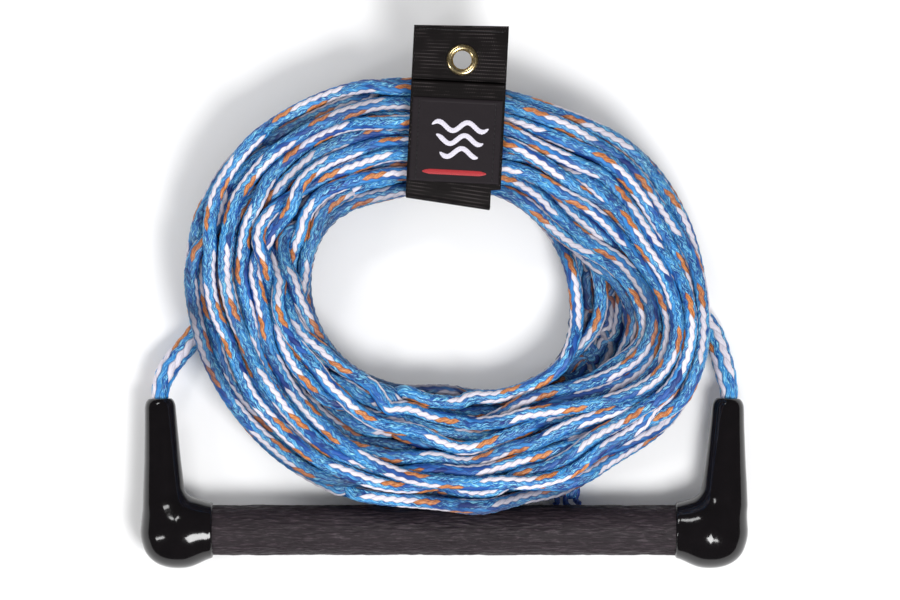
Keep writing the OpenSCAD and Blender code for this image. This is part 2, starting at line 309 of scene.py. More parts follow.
def braid_material():
    """A braid of sixteen strands: columns of slanted floats, every second column with the
    white and orange marker strands."""
    sh = Shader("braided_rope")
    u, v = sh.lay()
    c = u * BRAID_COLUMNS
    n0 = c.floor()
    x0 = c - n0
    left_of_even = (v - BRAID_SKEW) * (2 * math.pi)
    right_of_even = (v + BRAID_SKEW) * (2 * math.pi)
    left_of_even = left_of_even.math("COSINE") * -BRAID_WAVE - MARKER_SPREAD
    right_of_even = right_of_even.math("COSINE") * BRAID_WAVE + MARKER_SPREAD

    def edges(column):
        odd = column.math("MODULO", 2.0).math("ABSOLUTE")
        even = odd * -1 + 1
        left = left_of_even * even + right_of_even * odd
        right = right_of_even * even + left_of_even * odd
        return odd, left, right

    odd, left, right = edges(n0)
    n = n0 - x0.less(left) + x0.above(right + 1)
    odd, left, right = edges(n)
    x = (c - n - left).math("DIVIDE", right - left + 1)
    rise = 1 - 2 * BRAID_SKEW
    along_even = v + (0.5 - BRAID_SKEW) - x * rise
    along_odd = v - (1 - BRAID_SKEW) + x * rise
    along = along_even + (along_odd - along_even) * odd
    m = along.floor()
    f = along - m
    shifted = m + n.math("MULTIPLY", 1.5) + 6000.0
    place_in_repeat = (shifted * (1.0 / FLOATS_PER_REPEAT) + 0.001).fract() * FLOATS_PER_REPEAT
    marker = odd.less(0.5)
    white = place_in_repeat.less(WHITE_FLOATS - 0.5) * marker
    coloured = place_in_repeat.less(WHITE_FLOATS + ORANGE_FLOATS - 0.5) * marker
    orange = coloured - white

    # fine filaments run along each float
    slant = odd * -2 + 1
    across = (x - slant * f * 0.55) * 5.5 + n * 17.0 + m * 5.3
    filament = sh.noise(sh.vector(across, v * 1.9, m * 0.37), 1.0, 3.0, 0.7)
    wide = sh.noise(sh.place(), 24.0, 2.0)
    shade = sh.noise(sh.vector(n * 3.1, m * 1.7, wide * 1.5), 1.0, 1.0)
    # patches: on the marker columns they pick the royal tone, and they also place the painted highlights
    # below
    tone_and_glint_patches = sh.noise(sh.vector(n * 0.9, v * 0.11, wide * 3.0), 1.0, 2.0)

    azure = sh.mix(shade.smooth(0.42, 0.58), (0.006, 0.066, 0.33), (0.024, 0.225, 0.62))
    royal = sh.mix(shade.smooth(0.42, 0.58), (0.005, 0.030, 0.20), (0.014, 0.100, 0.42))
    blue = sh.mix(marker * tone_and_glint_patches.smooth(0.42, 0.54), azure, royal)
    # painted highlights: lighter blue strokes and cyan glints along the filaments stand in for light caught
    # by the glossy fibres
    sparkle = tone_and_glint_patches.smooth(0.64, 0.44)
    blue = sh.mix(filament.smooth(0.47, 0.56) * sparkle, blue, (0.045, 0.38, 0.76))
    glint = filament.smooth(0.53, 0.60) * sparkle
    blue = sh.mix(glint, blue, (0.34, 0.78, 0.93))
    white_rgb = sh.mix(filament.smooth(0.28, 0.56), (0.58, 0.54, 0.66), (0.84, 0.80, 0.88))
    orange_rgb = sh.mix(filament.smooth(0.38, 0.60), (0.36, 0.085, 0.010), (0.76, 0.31, 0.11))
    colour = sh.mix(white, blue, white_rgb)
    colour = sh.mix(orange, colour, orange_rgb)

    # painted shade: each float darkens towards its edges and ends, in the seams between floats
    edge = x.math("MINIMUM", x * -1 + 1)
    end = f.math("MINIMUM", f * -1 + 1)
    seam = edge.smooth(0.0, 0.16) * (end.smooth(0.0, 0.09) * 0.5 + 0.5)
    colour = sh.mix(seam * 0.5 + 0.5, (0.003, 0.014, 0.075), colour)
    # painted shade: turns lying low under their neighbours are darkened towards deep blue
    colour = sh.mix(sh.attribute("burial_shade") * 0.76, colour, (0.003, 0.010, 0.050))
    sh.plug("Base Color", colour)
    sh.plug("Roughness", filament.smooth(0.3, 0.8, 0.50, 0.30))
    sh.plug("Specular IOR Level", 0.5)
    height = seam * 0.6 + filament * 0.6
    sh.bump(height, 0.35, 0.8)
    return sh.material


def vinyl_material():
    sh = Shader("dipped_vinyl")
    skin = sh.noise(sh.place(), 120.0, 3.0)
    fine = sh.noise(sh.place(), 900.0, 2.0)
    sh.plug("Base Color", sh.mix(skin, (0.0035, 0.003, 0.0035), (0.007, 0.0055, 0.0065)))
    sh.plug("Roughness", fine.smooth(0.3, 0.7, 0.09, 0.16))
    sh.plug("IOR", 1.37)
    sh.plug("Coat Weight", 0.3)
    sh.plug("Coat Roughness", 0.05)
    sh.bump(skin, 0.25, 0.35)
    return sh.material


def grip_material():
    sh = Shader("wrinkled_rubber")
    long_grain = sh.noise(sh.place((0.16, 1, 1)), 900.0, 5.0, 0.65, 0.4)
    blotch = sh.noise(sh.place((0.5, 1, 1)), 90.0, 3.0)
    dark = sh.mix(blotch, (0.013, 0.0085, 0.011), (0.025, 0.0165, 0.0215))
    sh.plug("Base Color", sh.mix(long_grain.smooth(0.48, 0.72), dark, (0.058, 0.040, 0.050)))
    sh.plug("Roughness", long_grain.smooth(0.3, 0.7, 0.62, 0.46))
    sh.plug("Specular IOR Level", 0.3)
    sh.bump(long_grain, 0.5, 0.9)
    return sh.material


WEAVE_ACROSS = 1.27
WEAVE_ALONG = 1.9


def webbing_material(name):
    """Black webbing: raised warp floats in staggered rows, with tiny lighter stitches of weft."""
    sh = Shader(name)
    u, v = sh.lay()
    row = (v * (1 / WEAVE_ALONG)).floor()
    across = u * (1 / WEAVE_ACROSS) + row * 0.5
    fx = across.fract()
    fy = (v * (1 / WEAVE_ALONG)).fract()
    hump = (fx * math.pi).sin() * (fy * math.pi).sin()
    grain = sh.noise(sh.vector(u * 9.0, v * 2.0), 1.0, 4.0, 0.7)
    wear = sh.noise(sh.place(), 70.0, 3.0)
    colour = sh.mix(hump * grain, (0.0036, 0.0024, 0.0024), (0.0088, 0.0062, 0.0062))
    weft = fx.smooth(0.66, 0.82) * fy.smooth(0.72, 0.84) * wear.smooth(0.40, 0.62)
    sh.plug("Base Color", sh.mix(weft, colour, (0.18, 0.15, 0.153)))
    sh.plug("Roughness", grain.smooth(0.3, 0.7, 0.75, 0.5))
    sh.plug("Specular IOR Level", 0.16)
    sh.bump(hump * 0.5 + grain, 0.08, 0.8)
    return sh.material


def label_material():
    """Woven satin: fine ribs along the label, slightly lighter than the webbing."""
    sh = Shader("woven_satin")
    u, v = sh.lay()
    rib = (u * (2 * math.pi / 0.55)).sin() * 0.5 + 0.5
    pick = (v * (2 * math.pi / 0.42)).sin() * 0.5 + 0.5
    grain = sh.noise(sh.vector(u * 3.0, v * 3.0), 1.0, 4.0, 0.7)
    colour = sh.mix(rib * grain.smooth(0.3, 0.7, 0.5, 1.0), (0.007, 0.0045, 0.0062),
                    (0.026, 0.0185, 0.0235))
    sh.plug("Base Color", colour)
    sh.plug("Roughness", grain.smooth(0.3, 0.7, 0.62, 0.42))
    sh.plug("Specular IOR Level", 0.22)
    sh.bump(rib * 0.7 + pick * 0.3, 0.10, 0.8)
    return sh.material


def thread_material(name, dark, light):
    """Twisted thread: light and dark diagonals."""
    sh = Shader(name)
    twist = sh.noise(sh.place((1, 1, 1)), 2600.0, 2.0)
    sh.plug("Base Color", sh.mix(twist.smooth(0.4, 0.6), dark, light))
    sh.plug("Roughness", twist.smooth(0.3, 0.7, 0.6, 0.42))
    sh.bump(twist, 0.12, 0.8)
    return sh.material


def brass_material():
    sh = Shader("polished_brass")
    scratch = sh.noise(sh.place((1, 1, 6)), 700.0, 4.0, 0.7)
    patina = sh.noise(sh.place(), 260.0, 3.0)
    tone = sh.mix(patina.smooth(0.3, 0.8), (0.98, 0.80, 0.46), (0.84, 0.62, 0.28))
    sh.plug("Base Color", tone)
    sh.plug("Metallic", 1.0)
    sh.plug("Roughness", scratch.smooth(0.3, 0.75, 0.20, 0.32))
    sh.bump(scratch, 0.02, 0.2)
    return sh.material


def aluminium_material():
    sh = Shader("drawn_aluminium")
    drawn = sh.noise(sh.place((0.05, 1, 1)), 1500.0, 3.0)
    sh.plug("Base Color", sh.mix(drawn, (0.62, 0.63, 0.65), (0.80, 0.80, 0.82)))
    sh.plug("Metallic", 1.0)
    sh.plug("Roughness", drawn.smooth(0.3, 0.7, 0.28, 0.45))
    sh.bump(drawn, 0.03, 0.5)
    return sh.material


def foam_material():
    sh = Shader("closed_cell_foam")
    cells = sh.noise(sh.place(), 1400.0, 4.0, 0.75)
    sh.plug("Base Color", sh.mix(cells.smooth(0.35, 0.65), (0.62, 0.62, 0.60), (0.88, 0.88, 0.86)))
    sh.plug("Roughness", 0.85)
    sh.bump(cells, 0.3, 0.8)
    return sh.material


def pile_material(name, scale):
    """Hook or loop tape: a short tangled pile."""
    sh = Shader(name)
    pile = sh.noise(sh.place(), scale, 4.0, 0.75, 1.5)
    sh.plug("Base Color", sh.mix(pile.smooth(0.4, 0.7), (0.003, 0.003, 0.003),
                                 (0.035, 0.034, 0.036)))
    sh.plug("Roughness", 0.8)
    sh.plug("Sheen Weight", 0.3)
    sh.bump(pile, 0.5, 1.0)
    return sh.material


# ---------------------------------------------------------------- rope

def braid_relief(u, v):
    """Height of the braid, 0 in its seams to 1 on its crowns, at turn u and float count v."""
    c = u * BRAID_COLUMNS
    n0 = np.floor(c)
    x0 = c - n0
    left_of_even = -BRAID_WAVE * np.cos(2 * np.pi * (v - BRAID_SKEW)) - MARKER_SPREAD + 0 * c
    right_of_even = BRAID_WAVE * np.cos(2 * np.pi * (v + BRAID_SKEW)) + MARKER_SPREAD + 0 * c
    even = n0 % 2 == 0
    left = np.where(even, left_of_even, right_of_even)
    right = np.where(even, right_of_even, left_of_even)
    n = n0 - (x0 < left) + (x0 > 1 + right)
    even = n % 2 == 0
    left = np.where(even, left_of_even, right_of_even)
    right = np.where(even, right_of_even, left_of_even)
    x = np.clip((c - n - left) / (1 + right - left), 0, 1)
    rise = 1 - 2 * BRAID_SKEW
    along = np.where(even, v + 0.5 - BRAID_SKEW - rise * x, v - 1 + BRAID_SKEW + rise * x)
    return np.sin(np.pi * x) ** 0.8 * (0.45 + 0.55 * np.sin(np.pi * (along % 1)) ** 0.7)


# How deep the seams between floats lie, as a share of the rope's radius
RELIEF_DEPTH = 0.19


def rope_mesh(name, points, radius, float_length, ring_step, around, twist=None, burial_shade=None, lead=0.0):
    """A braided rope along the points, with the braid's floats standing out of its surface.
    radius is one number, or distances along the rope with the radius at each; lead shifts the
    braid's pattern along it, in floats."""
    path, at = resample(points, ring_step)
    rings = len(path)
    tangent = np.gradient(path, axis=0)
    tangent /= np.linalg.norm(tangent, axis=1)[:, None]
    flat = np.cross(tangent, [0, 0, 1.0])
    flat /= np.linalg.norm(flat, axis=1)[:, None] + 1e-9
    up = np.cross(flat, tangent)
    v = at / float_length + lead
    u = np.arange(around) / around
    phase = np.zeros(rings) if twist is None else np.interp(at, np.linspace(0, at[-1], len(twist)), twist)
    relief = braid_relief(u[None, :], v[:, None])
    thick = np.interp(at, *radius) if isinstance(radius, tuple) else np.full(rings, radius)
    r = thick[:, None] * (1 - RELIEF_DEPTH + RELIEF_DEPTH * relief)
    cut = np.minimum(at, at[-1] - at)
    r = r * np.sqrt(np.clip(cut / (0.5 * thick) + 0.02, 0.02, 1))[:, None]
    angle = 2 * np.pi * u[None, :] + phase[:, None]
    ring = (flat[:, None] * np.cos(angle)[..., None] + up[:, None] * np.sin(angle)[..., None])
    verts = (path[:, None] + ring * r[..., None]).reshape(-1, 3)
    quads = grid_faces(rings, around, True)[:, ::-1]
    i = np.repeat(np.arange(rings - 1), around)
    j = np.tile(np.arange(around), rings - 1)
    # corners run in the same order as the reversed quads
    corner_u = np.stack([j, j + 1, j + 1, j], axis=1) / around
    corner_v = np.stack([v[i + 1], v[i + 1], v[i], v[i]], axis=1)
    uv = np.stack([corner_u.ravel(), corner_v.ravel()], axis=1)
    rope = make_mesh(name, verts, quads, uv)
    # painted shade: per-point amount by which the material darkens a rope lying under its neighbours
    if burial_shade is not None:
        shade = np.interp(np.linspace(0, 1, rings), np.linspace(0, 1, len(burial_shade)), burial_shade)
        layer = rope.data.attributes.new("burial_shade", "FLOAT", "POINT")
        layer.data.foreach_set("value", np.repeat(shade, around).astype(np.float32))
    return rope


ROPE_R = 4.0
FLOAT_LENGTH = 5.9
TURNS = 37
STATIONS = 120
# Radius of the coil's hole and of its outside at angles in degrees from +X, about COIL_EYE
HOLE = [(0, 67), (30, 62.5), (60, 58), (90, 52.5), (120, 56.5), (150, 70), (180, 71.5), (210, 66),
        (240, 57.5), (270, 51), (300, 61.5), (330, 71)]
OUTSIDE = [(0, 142), (30, 133.5), (60, 116), (90, 113.5), (120, 125), (165, 141), (210, 132.5),
           (240, 125.5), (268, 118.5), (281, 123), (290, 123), (300, 128), (315, 132.5), (330, 143),
           (345, 146)]
COIL_EYE = np.array([0.0, 130.0])
ROWS = [8, 8, 8, 7, 6]
# Places where the upper turns crowd to the outside: angle, width in degrees, strength
SQUEEZES = [(-11, 21, 1.0), (274, 22, 0.5)]


def coil_path():
    """Centres of the coiled mainline: 37 turns laid in rows, wandering and crossing, then
    pushed apart until they touch without passing through one another."""
    theta = 2 * np.pi * (np.arange(STATIONS) + 0.5) / STATIONS + math.radians(88)
    hole = closed_curve(HOLE, theta)
    outside = closed_curve(OUTSIDE, theta)
    middle = (hole + outside) / 2
    half = (outside - hole) / 2 - ROPE_R

    # rest height of the bundle: on the surface, or on the bridle and the strap beneath it
    degrees = np.degrees(theta) % 360
    strap_low = node_box("mainline_layer_1")[0][2]
    near_keeper = 1 - smoothstep(np.abs(degrees - 88), 14, 45)
    ground = FLOOR_Z + (strap_low - FLOOR_Z) * near_keeper

    slots = []
    for row, count in enumerate(ROWS):
        across = (np.arange(count) - (count - 1) / 2) / 3.6
        across = across[::-1] if row % 2 else across
        slots += [(x, row) for x in across]
    slots = np.array(slots)
    order = np.argsort(np.arange(TURNS) + rng.normal(0, 3.0, TURNS))
    slots = slots[order]
    following = np.vstack([slots[1:], slots[-1:]])
    change_at = rng.uniform(0.15, 0.85, TURNS)
    part = np.arange(STATIONS) / STATIONS
    blend = smoothstep(part[None, :] - change_at[:, None], -0.15, 0.15)
    place = slots[:, None] * (1 - blend[..., None]) + following[:, None] * blend[..., None]

    count = TURNS * STATIONS
    share = place[..., 0] + wander(count, 17, 0.16).reshape(TURNS, STATIONS)
    rise = place[..., 1] * 7.0 + wander(count, 14, 2.0).reshape(TURNS, STATIONS)
    upper = smoothstep(place[..., 1], 0.3, 2.6)
    target = share.copy()
    for angle, width, strength in SQUEEZES:
        away = (degrees - angle + 180) % 360 - 180
        push = strength * np.exp(-(away / width) ** 2)[None, :] * upper
        crowded = 0.80 + 0.20 * target
        target = target + push * (crowded - target)
    out = np.clip(target, -1, 1) * half[None, :]
    goal = out.copy()
    high = ground[None, :] + ROPE_R + rise

    spacing = 2 * ROPE_R * 0.985
    ramp = np.hanning(13) / np.hanning(13).sum()
    own = np.eye(TURNS, dtype=bool)[..., None]
    direction = np.stack([np.cos(theta), np.sin(theta)], axis=1)
    for step in range(260):
        settling = step < 200
        du = out[:, None] - out[None]
        dh = high[:, None] - high[None]
        gap = np.sqrt(du * du + dh * dh) + 1e-6
        press = np.where(own, 0, np.clip(spacing - gap, 0, None)) * 0.42 / gap
        out = out + (press * du).sum(1)
        high = high + (press * dh).sum(1)
        if settling:
            high -= 0.22
            out += 0.05 * (goal - out)
        for values in (out, high):
            line = values.reshape(-1)
            middle_part = 0.5 * (line[:-2] + line[2:])
            line[1:-1] += (0.35 if settling else 0.12) * (middle_part - line[1:-1])
        out = np.clip(out, -half, half)
        high = np.maximum(high, ground + ROPE_R)
        # turns that reach the grip lie on it
        y = COIL_EYE[1] + (middle + out) * direction[:, 1]
        over = np.sqrt(np.clip((GRIP_R + ROPE_R + 0.4) ** 2 - y * y, 0, None))
        high = np.maximum(high, np.maximum(over, np.convolve(over.ravel(), ramp, "same").reshape(over.shape)))
        high = np.minimum(high, np.where(near_keeper > 0.9, 31.0, 40.0))
    # how far the turns beside and above each point stand over it, kept as painted shade that darkens the
    # lower turns
    du = out[:, None] - out[None]
    dh = high[None] - high[:, None]
    burial_shade = np.clip((dh - np.clip(np.abs(du) - 6, 0, None)).max(1) / 25, 0, 1)
    radius = middle + out
    x = COIL_EYE[0] + radius * direction[:, 0]
    y = COIL_EYE[1] + radius * direction[:, 1]
    return np.stack([x, y, high], axis=-1).reshape(-1, 3), burial_shade.ravel()


def build_mainline(material):
    path, burial_shade = coil_path()
    twist = np.cumsum(rng.normal(0, 0.5, TURNS * 5))
    names = [f"mainline_layer_{i}" for i in range(1, 6)]
    edges = np.linspace(0, TURNS, len(names) + 1).astype(int)
    for i, node in enumerate(names):
        low, high = edges[i] * STATIONS, min(edges[i + 1] * STATIONS + 1, len(path))
        part = twist[edges[i] * 5: edges[i + 1] * 5]
        rope = rope_mesh(f"coil_turns_{i + 1}", path[low:high], ROPE_R, FLOAT_LENGTH, 1.25, 24, part,
                         burial_shade[low:high])
        rope.data.materials.append(material)
        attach(rope, "coil")
        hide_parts(node)
    return path


# The bridle's radius at distances from its knot: the cap's mouth grips it thinner
LEG_THICKNESS = ([0, 34, 46], [4.9, 4.9, 6.0])


def leg_points(side):
    """Centre line of a bridle leg, from inside the end cap to the whipping under the coil."""
    low = FLOOR_Z + 5.6
    hinge = hinge_at("handle_swing")
    if side < 0:
        outer = [(-151.6, 40, 0), (-152.9, 60, 0), (-153.8, 74, -0.2), (-151.5, hinge[1] + 1, -1.8),
                 (-147.0, 91, -5.0), (-140.0, 99.5, -8.6), (-132.5, 109, low + 0.4), (-121, 122, low)]
        arc_centre, arc_r, a0, a1 = (-21.0, 131.0), 84.0, 172, 124
    else:
        outer = [(151.8, 40, 0), (153.3, 60, 0), (154.4, 74, -0.2), (153.0, hinge[1] + 1, -1.8),
                 (150.8, 92, -5.0), (148.2, 101, -8.6), (144.0, 110, low + 0.4), (131, 124, low)]
        arc_centre, arc_r, a0, a1 = (31.0, 127.0), 88.0, 4, 90
    turn = np.radians(np.linspace(a0, a1, 14))
    arc = [(arc_centre[0] + arc_r * math.cos(a), arc_centre[1] + arc_r * math.sin(a), low) for a in turn]
    if side > 0:
        turn = np.radians(np.linspace(92, 120, 6))
        arc += [(-21 + 84 * math.cos(a), 131 + 84 * math.sin(a), low) for a in turn]
    return np.array(outer + arc, dtype=float)


def build_legs(material):
    for side, name in ((-1, "left"), (1, "right")):
        leg = rope_mesh(f"bridle_rope_{name}", leg_points(side), LEG_THICKNESS, 8.2, 1.2, 32,
                        np.array([0.4, 0.9, 0.2, 0.0]), lead=-5.2)
        leg.data.materials.append(material)
        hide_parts(f"bridle_{name}", f"bridle_end_{name}")
        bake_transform(leg)


# ---------------------------------------------------------------- end caps

def smooth_min(a, b, k):
    h = np.clip(0.5 + 0.5 * (b - a) / k, 0, 1)
    return b * (1 - h) + a * h - k * h * (1 - h)


def smooth_max(a, b, k):
    return -smooth_min(-a, -b, k)


def turned_distance(p, a, b, profile, rounding):
    """Rough distance to a body turned about the line from a to b; profile is its radius at
    points along it."""
    axis = (b - a) / np.linalg.norm(b - a)
    t = (p - a) @ axis
    radial = np.linalg.norm(p - a - t[:, None] * axis, axis=1)
    at, radius = np.array(profile).T
    side = (radial - np.interp(t, at, radius)) * 0.985
    return smooth_max(side, np.maximum(at[0] - t, t - at[-1]), rounding)


ARM_ROOT = np.array([150.8, 0.0, 0.0])
ARM_MOUTH = np.array([154.0, 72.2, 0.0])
ARM_PROFILES = {"left": [(-4, 12.4), (7, 12.3), (14, 11.8), (26, 10.9), (38, 9.9), (56, 8.9), (72.6, 8.1)],
                "right": [(-4, 12.4), (7, 12.8), (14, 13.1), (26, 12.1), (38, 10.9), (56, 9.4), (72.6, 8.3)]}
COLLAR_PROFILE = [(0, 15.0), (6, 15.3), (17, 15.5)]


def cap_distance(p, arm_profile):
    """Signed distance to an end cap's skin, for the cap at the right-hand end."""
    heel = np.linalg.norm((p - np.array([142.6, -0.9, 0])) / np.array([1, 1, 0.9]), axis=1) - 19.7
    corner = np.linalg.norm(p - np.array([150.2, -5.6, 0]), axis=1) - 12.7
    heel = smooth_min(heel, corner, 5.0)
    arm = turned_distance(p, ARM_ROOT, ARM_MOUTH, arm_profile, 6.5)
    collar = turned_distance(p, np.array([125.3, 0, 0]), np.array([142.3, 0, 0]), COLLAR_PROFILE, 1.2)
    body = smooth_min(smooth_min(heel, collar, 4.0), arm, 5.0)
    mouth = turned_distance(p, np.array([153.6, 60, 0]), np.array([154.2, 90, 0]),
                            [(0, 5.1), (30, 5.1)], 0.5)
    socket = turned_distance(p, np.array([100.0, 0, 0]), np.array([131.0, 0, 0]),
                             [(0, 13.7), (31, 13.7)], 0.5)
    body = smooth_max(body, -mouth, 1.4)
    return smooth_max(body, -socket, 0.7)


def project(p, distance, rounds=6):
    """Moves points onto the surface where distance is zero."""
    eps = 0.02
    for _ in range(rounds):
        d = distance(p)
        grad = np.stack([distance(p + eps * e) - d for e in np.eye(3)], axis=1) / eps
        size = (grad * grad).sum(1)
        p = p - np.clip(d / np.maximum(size, 0.2), -1.5, 1.5)[:, None] * grad
    return p


def build_cap(side, name, material):
    # a coarse solid of the same form gives the skin its mesh
    bpy.ops.mesh.primitive_uv_sphere_add(segments=48, ring_count=24, radius=1)
    seed = bpy.context.object
    seed.scale = (20.3 * MM, 20.3 * MM, 17.7 * MM)
    seed.location = (142.9 * MM, -0.4 * MM, 0)
    parts = [seed]
    for a, b, ra, rb in (((150.8, 0), (152.5, 44), 12.6, 9.1), ((152.2, 38), (153.5, 72), 9.3, 7.6),
                         ((125.3, 0), (144, 0), 15.0, 15.6)):
        start, stop = Vector((*a, 0)) * MM, Vector((*b, 0)) * MM
        bpy.ops.mesh.primitive_cone_add(vertices=64, radius1=ra * MM, radius2=rb * MM,
                                        depth=(stop - start).length, location=(start + stop) / 2)
        cone = bpy.context.object
        cone.rotation_euler = (stop - start).to_track_quat("Z", "Y").to_euler()
        parts.append(cone)
    for part in parts:
        part.select_set(True)
    bpy.context.view_layer.objects.active = seed
    bpy.ops.object.join()
    bpy.ops.object.transform_apply(location=True, rotation=True, scale=True)
    remesh = seed.modifiers.new("skin", "REMESH")
    remesh.mode = "VOXEL"
    remesh.voxel_size = 0.9 * MM
    bpy.ops.object.modifier_apply(modifier=remesh.name)
    mesh = seed.data
    p = np.empty(3 * len(mesh.vertices))
    mesh.vertices.foreach_get("co", p)
    p = project(p.reshape(-1, 3) / MM, lambda q: cap_distance(q, ARM_PROFILES[name]))
    p[:, 0] *= side
    mesh.vertices.foreach_set("co", (p * MM).astype(np.float32).ravel())
    if side < 0:
        mesh.flip_normals()
    mesh.polygons.foreach_set("use_smooth", np.ones(len(mesh.polygons), dtype=bool))
    mesh.update()
    seed.name = f"vinyl_cap_{name}"
    mesh.materials.append(material)
    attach(seed, "handle")
    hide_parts(f"end_cap_{name}")
    return seed


# ---------------------------------------------------------------- grip

def build_grip(material):
    rows, around = 520, 168
    end_x = BARE_GRIP / 2 + 5
    x = np.linspace(-end_x, end_x, rows)
    a = 2 * np.pi * np.arange(around) / around
    relief = np.empty((rows, around))
    for i in range(rows):
        for j in range(around):
            spot = Vector((x[i] * 0.075, math.cos(a[j]) * 9.5, math.sin(a[j]) * 9.5))
            relief[i, j] = abs(noise.noise(spot)) + 0.5 * abs(noise.noise(spot * 2.3))
    r = GRIP_R - 0.35 + 0.8 * np.clip(relief, 0, 0.8)
    r *= (1 + 0.006 * np.sin(x * 0.11))[:, None]
    y, z = r * np.cos(a), r * np.sin(a)
    verts = np.stack([np.repeat(x[:, None], around, 1), y, z], axis=-1).reshape(-1, 3)
    grip = make_mesh("wrinkled_grip", verts, grid_faces(rows, around, True)[:, ::-1])
    grip.data.materials.append(material)
    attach(grip, "handle")
    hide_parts("grip_sleeve")


# ---------------------------------------------------------------- keeper

KEEPER_TURN = math.atan2(JOINTS["flap_open"]["axis"][1], JOINTS["flap_open"]["axis"][0])
KEEPER_CENTRE = np.array([7.0, 224.0])
WEBBING_W = 50.8


def keeper_place(local):
    """Points from the keeper's straight frame to the part's frame."""
    c, s = math.cos(KEEPER_TURN), math.sin(KEEPER_TURN)
    x, y = local[:, 0], local[:, 1] - KEEPER_CENTRE[1]
    return np.stack([KEEPER_CENTRE[0] + x * c - y * s, KEEPER_CENTRE[1] + x * s + y * c,
                     local[:, 2]], axis=1)


def fold_path(corners, radius, step=0.6):
    """A line in the keeper's side view through corners (y, z), with rounded bends."""
    pts = [np.array(c, dtype=float) for c in corners]
    line = [pts[0]]
    for before, at, after in zip(pts[:-2], pts[1:-1], pts[2:]):
        into, away = before - at, after - at
        r = min(radius, 0.45 * np.linalg.norm(into), 0.45 * np.linalg.norm(away))
        a = at + into / np.linalg.norm(into) * r
        b = at + away / np.linalg.norm(away) * r
        for t in np.linspace(0, 1, 7):
            line.append((1 - t) ** 2 * a + 2 * t * (1 - t) * at + t * t * b)
    line.append(pts[-1])
    line = np.array(line)
    length = np.concatenate([[0], np.cumsum(np.linalg.norm(np.diff(line, axis=0), axis=1))])
    s = np.linspace(0, length[-1], max(int(length[-1] / step), 2))
    return np.stack([np.interp(s, length, line[:, k]) for k in range(2)], axis=1), s


def webbing_strip(name, corners, radius, thickness, width=WEBBING_W, ripple=0.25, step=0.6,
                  hole=None, skew=0.0, end_skew=0.0, waist=None):
    """A strip of webbing that follows the corners: woven faces, thick selvages, soft waves."""
    line, s = fold_path(corners, radius, step)
    tangent = np.gradient(line, axis=0)
    tangent /= np.linalg.norm(tangent, axis=1)[:, None]
    normal = np.stack([-tangent[:, 1], tangent[:, 0]], axis=1)
    cols = int(width / step)
    x = np.linspace(-width / 2, width / 2, cols)
    edge = np.sqrt(np.clip(1 - np.clip((np.abs(x) - (width / 2 - 0.8)) / 0.85, 0, 1) ** 2, 0, 1))
    sway = np.array([[noise.noise(Vector((xx * 0.045, ss * 0.05, 3.1))) for xx in x] for ss in s])
    half = thickness / 2 * edge[None, :] * np.ones((len(s), 1))
    half[0] *= 0.4
    half[-1] *= 0.4
    sheets = []
    for sign in (1, -1):
        off = sign * half + ripple * sway
        y = line[:, 0][:, None] + normal[:, 0][:, None] * off
        z = line[:, 1][:, None] + normal[:, 1][:, None] * off
        sheets.append(np.stack([np.repeat(x[None, :], len(s), 0), y, z], axis=-1))
    rows = len(s)
    loop = np.concatenate([sheets[0], sheets[1][:, ::-1]], axis=1)
    # the near fold and the far end aren't quite square to the strip
    loop[..., 1] -= skew * loop[..., 0] * (1 - smoothstep(loop[..., 1], 180, 200))
    loop[..., 1] += end_skew * loop[..., 0] * smoothstep(loop[..., 1], 250, 272)
    if waist is not None:
        limit, taken = waist
        slim = (loop[..., 0] + width / 2) * (1 - taken / width) - width / 2
        loop[..., 0] = np.where(loop[..., 1] < limit, slim, loop[..., 0])
    around = loop.shape[1]
    verts = keeper_place(loop.reshape(-1, 3))
    quads = grid_faces(rows, around, True)
    column_x = np.concatenate([x, x[::-1]])
    i = np.repeat(np.arange(rows - 1), around)
    j = np.tile(np.arange(around), rows - 1)
    k = (j + 1) % around
    uv_x = np.stack([column_x[j], column_x[k], column_x[k], column_x[j]], axis=1)
    uv_y = np.stack([s[i], s[i], s[i + 1], s[i + 1]], axis=1)
    uv = np.stack([uv_x.ravel() + width, uv_y.ravel()], axis=1)
    keep = np.ones(len(quads), dtype=bool)
    if hole is not None:
        local = loop.reshape(-1, 3)
        centre = local[quads].mean(1)
        keep = np.hypot(centre[:, 0] - hole[0], centre[:, 1] - hole[1]) > hole[2]
    caps = []
    for base in (0, (rows - 1) * around):
        ring = np.arange(around // 2)
        a, b = base + ring[:-1], base + ring[1:]
        c, d = base + around - 1 - ring[1:], base + around - 1 - ring[:-1]
        caps.append(np.stack([d, c, b, a] if base == 0 else [a, b, c, d], axis=1))
    all_quads = np.vstack([quads[keep]] + caps)
    all_uv = np.vstack([uv.reshape(-1, 4, 2)[keep].reshape(-1, 2),
                        np.zeros((4 * sum(len(c) for c in caps), 2))])
    obj = make_mesh(name, verts, all_quads[:, ::-1], all_uv.reshape(-1, 4, 2)[:, ::-1].reshape(-1, 2))
    return obj


def stitch_line(name, p, q, count, z, material, bulge=0.35, width=0.55):
    """A row of sewn stitches: each one a small bead of thread, dipping at its ends."""
    p, q = np.array(p, dtype=float), np.array(q, dtype=float)
    step = (q - p) / count
    along = step / np.linalg.norm(step)
    across = np.array([-along[1], along[0]])
    verts, quads = [], []
    rings, around = 7, 8
    for i in range(count):
        middle = p + step * (i + 0.5)
        base = len(verts)
        for r in range(rings):
            t = r / (rings - 1) * 2 - 1
            size = math.sqrt(max(1 - t * t, 0.02))
            spot = middle + along * t * np.linalg.norm(step) * 0.42
            for a in range(around):
                angle = 2 * math.pi * a / around
                side = spot + across * width / 2 * size * math.cos(angle)
                verts.append((side[0], side[1], z + bulge * size * math.sin(angle)))
        quads.append(grid_faces(rings, around, True) + base)
    obj = make_mesh(name, keeper_place(np.array(verts)), np.vstack(quads))
    obj.data.materials.append(material)
    return obj


